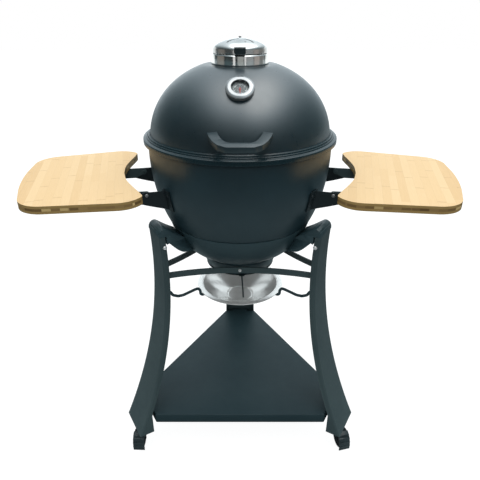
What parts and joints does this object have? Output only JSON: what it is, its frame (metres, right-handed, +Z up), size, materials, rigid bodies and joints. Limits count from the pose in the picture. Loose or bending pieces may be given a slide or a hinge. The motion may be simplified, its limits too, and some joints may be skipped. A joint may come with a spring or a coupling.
{
  "type": "kamado grill",
  "caption": "Egg-shaped ceramic charcoal grill with a hinged domed lid, turning top vent, fold-down wooden side shelves and a three-legged rolling stand with a lower shelf.",
  "frame": {"origin": "on the floor, at the centre of the grill's overall footprint (left-right and front-rear)", "axes": "+Z up; -Y is the front, where the handle and thermometer are; +X is to the right of someone standing in front of it"},
  "size_m": [1.1824, 0.7426, 1.2407],
  "materials": {
    "satin_shell": "satin dark blue-green coating",
    "glazed_ceramic": "thick ceramic, satin dark blue-green glaze",
    "dark_coated_steel": "satin powder coat",
    "black_steel": "satin black",
    "chrome": "polished",
    "stainless": "polished stainless",
    "fired_ceramic": "raw fired ceramic",
    "cast_iron": "seasoned",
    "gasket_felt": "heat-proof felt",
    "bamboo": "laminated strips, light oil",
    "black_plastic": "matt, fine ribs",
    "wheel_rubber": "dark grey",
    "dial_face": "satin grey",
    "needle_red": "satin red",
    "gauge_glass": "clear"
  },
  "bodies": {
    "stand": {"bowl_shell": "glazed_ceramic", "cradle_pan": "dark_coated_steel", "vent_collar": "stainless", "fire_bowl": "fired_ceramic", "charcoal_grate": "cast_iron", "hinge_bowl_bracket": "dark_coated_steel", "hinge_pin": "chrome", "leg_left": "dark_coated_steel", "leg_right": "dark_coated_steel", "leg_rear": "dark_coated_steel", "leg_head_left": "dark_coated_steel", "leg_head_right": "dark_coated_steel", "leg_head_rear": "dark_coated_steel", "brace_front": "dark_coated_steel", "brace_left": "dark_coated_steel", "brace_right": "dark_coated_steel", "dish_hanger_left": "dark_coated_steel", "dish_hanger_right": "dark_coated_steel", "dish_hanger_rear": "dark_coated_steel", "lower_shelf": "dark_coated_steel", "shelf_bracket_left_front": "black_steel", "shelf_bracket_left_rear": "black_steel", "shelf_bracket_right_front": "black_steel", "shelf_bracket_right_rear": "black_steel", "head_bolt_left": "chrome", "head_bolt_right": "chrome", "head_bolt_rear": "chrome", "brace_bolt_front": "chrome", "brace_bolt_left": "chrome", "brace_bolt_right": "chrome"},
    "lid": {"lid_shell": "glazed_ceramic", "lid_band": "satin_shell", "lid_gasket": "gasket_felt", "top_vent_base": "stainless", "top_vent_plate": "cast_iron", "lid_handle": "satin_shell", "thermometer_housing": "stainless", "thermometer_bezel": "chrome", "thermometer_dial": "dial_face", "thermometer_glass": "gauge_glass", "hinge_lid_bracket": "dark_coated_steel"},
    "vent_cap": {"top_vent_cap": "stainless", "top_vent_tab": "black_plastic"},
    "needle": {"thermometer_needle": "needle_red"},
    "damper": {"ash_damper": "stainless"},
    "grate": {"cooking_grate": "cast_iron"},
    "dish": {"ash_dish": "stainless"},
    "left_shelf": {"side_board_left": "bamboo", "shelf_frame_left": "dark_coated_steel"},
    "right_shelf": {"side_board_right": "bamboo", "shelf_frame_right": "dark_coated_steel"},
    "left_caster": {"caster_fork_left": "black_steel"},
    "left_wheel": {"caster_wheel_left": "wheel_rubber"},
    "left_brake": {"brake_pedal_left": "black_plastic"},
    "right_caster": {"caster_fork_right": "black_steel"},
    "right_wheel": {"caster_wheel_right": "wheel_rubber"},
    "right_brake": {"brake_pedal_right": "black_plastic"},
    "rear_caster": {"caster_fork_rear": "black_steel"},
    "rear_wheel": {"caster_wheel_rear": "wheel_rubber"},
    "rear_brake": {"brake_pedal_rear": "black_plastic"}
  },
  "joints": [
    {"name": "lid_hinge", "type": "hinge", "parent": "stand", "child": "lid", "pos_m": [0, 0.22254, 0.98845], "axis": [-1, 0, 0], "range_deg": [0, 75]},
    {"name": "vent_cap_turn", "type": "hinge", "parent": "lid", "child": "vent_cap", "pos_m": [0, -0.06234, 1.22695], "axis": [0, 0, 1], "range_deg": [0, 90]},
    {"name": "needle_turn", "type": "hinge", "parent": "lid", "child": "needle", "pos_m": [0, -0.23726, 1.14097], "axis": [0, 0.613, -0.79], "range_deg": [0, 270]},
    {"name": "damper_turn", "type": "hinge", "parent": "stand", "child": "damper", "pos_m": [0, -0.06234, 0.59545], "axis": [0, 0, 1], "range_deg": [-30, 30]},
    {"name": "left_shelf_fold", "type": "hinge", "parent": "stand", "child": "left_shelf", "pos_m": [-0.26493, -0.12229, 0.86999], "axis": [0.2207, -0.9753, 0], "range_deg": [0, 90]},
    {"name": "right_shelf_fold", "type": "hinge", "parent": "stand", "child": "right_shelf", "pos_m": [0.26493, -0.12229, 0.86999], "axis": [0.2207, 0.9753, 0], "range_deg": [0, 90]},
    {"name": "left_caster_swivel", "type": "hinge", "parent": "stand", "child": "left_caster", "pos_m": [-0.32588, -0.25049, 0.0848], "axis": [0, 0, 1], "continuous": true},
    {"name": "left_wheel_spin", "type": "hinge", "parent": "left_caster", "child": "left_wheel", "pos_m": [-0.32651, -0.26848, 0.03], "axis": [0.9994, -0.0349, 0], "continuous": true},
    {"name": "left_brake_press", "type": "hinge", "parent": "left_caster", "child": "left_brake", "pos_m": [-0.3266, -0.27098, 0.0668], "axis": [-0.9994, 0.0349, 0], "range_deg": [0, 15]},
    {"name": "right_caster_swivel", "type": "hinge", "parent": "stand", "child": "right_caster", "pos_m": [0.32588, -0.25049, 0.0848], "axis": [0, 0, 1], "continuous": true},
    {"name": "right_wheel_spin", "type": "hinge", "parent": "right_caster", "child": "right_wheel", "pos_m": [0.33024, -0.26795, 0.03], "axis": [0.9703, 0.2419, 0], "continuous": true},
    {"name": "right_brake_press", "type": "hinge", "parent": "right_caster", "child": "right_brake", "pos_m": [0.33084, -0.27038, 0.0668], "axis": [-0.9703, -0.2419, 0], "range_deg": [0, 15]},
    {"name": "rear_caster_swivel", "type": "hinge", "parent": "stand", "child": "rear_caster", "pos_m": [0, 0.31396, 0.0848], "axis": [0, 0, 1], "continuous": true},
    {"name": "rear_wheel_spin", "type": "hinge", "parent": "rear_caster", "child": "rear_wheel", "pos_m": [0.00188, 0.33186, 0.03], "axis": [-0.9945, 0.1045, 0], "continuous": true},
    {"name": "rear_brake_press", "type": "hinge", "parent": "rear_caster", "child": "rear_brake", "pos_m": [0.00214, 0.33435, 0.0668], "axis": [0.9945, -0.1045, 0], "range_deg": [0, 15]},
    {"name": "cooking_grate_lift", "type": "slide", "parent": "stand", "child": "grate", "axis": [0, 0, 1], "range_m": [0, 0.06]},
    {"name": "ash_dish_lift", "type": "slide", "parent": "stand", "child": "dish", "axis": [0, 0, 1], "range_m": [0, 0.012]}
  ]
}
